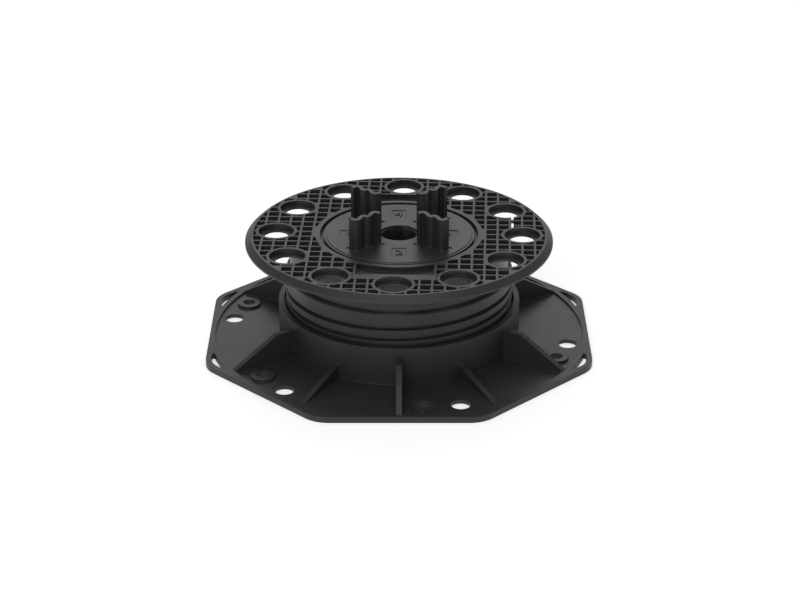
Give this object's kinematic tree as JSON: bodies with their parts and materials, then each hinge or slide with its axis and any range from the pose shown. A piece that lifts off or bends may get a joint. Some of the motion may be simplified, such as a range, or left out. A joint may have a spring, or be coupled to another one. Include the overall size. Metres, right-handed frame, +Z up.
{
  "type": "raised floor pedestal",
  "caption": "Adjustable screw-jack pedestal: octagonal base with threaded collar, waffle-topped screw head and a turnable disc with four corrugated lugs.",
  "frame": {"origin": "centre of the base's flat underside, on the screw axis", "axes": "+Z up along the screw axis; X and Y square to two pairs of the octagonal base's flat sides, -Y towards the viewer"},
  "size_m": [0.187, 0.187, 0.071],
  "materials": {
    "base_plastic": "fine matt, moulded polypropylene",
    "head_plastic": "fine matt, moulded polypropylene",
    "tab_plastic": "fine matt, moulded polypropylene"
  },
  "bodies": {
    "base": {"base": "base_plastic"},
    "tab_plate": {"tab_plate": "tab_plastic"},
    "head": {"head": "head_plastic"}
  },
  "joints": [
    {"name": "lift", "type": "slide", "parent": "base", "child": "tab_plate", "axis": [0, 0, 1], "range_m": [-0.0055, 0.0055]},
    {"name": "turn", "type": "hinge", "parent": "tab_plate", "child": "head", "pos_m": [0, 0, 0.03], "axis": [0, 0, 1], "range_deg": [-360, 360]}
  ],
  "couplings": [
    {"joint": "lift", "follows": "turn", "m_per_rad": 0.00087535}
  ]
}
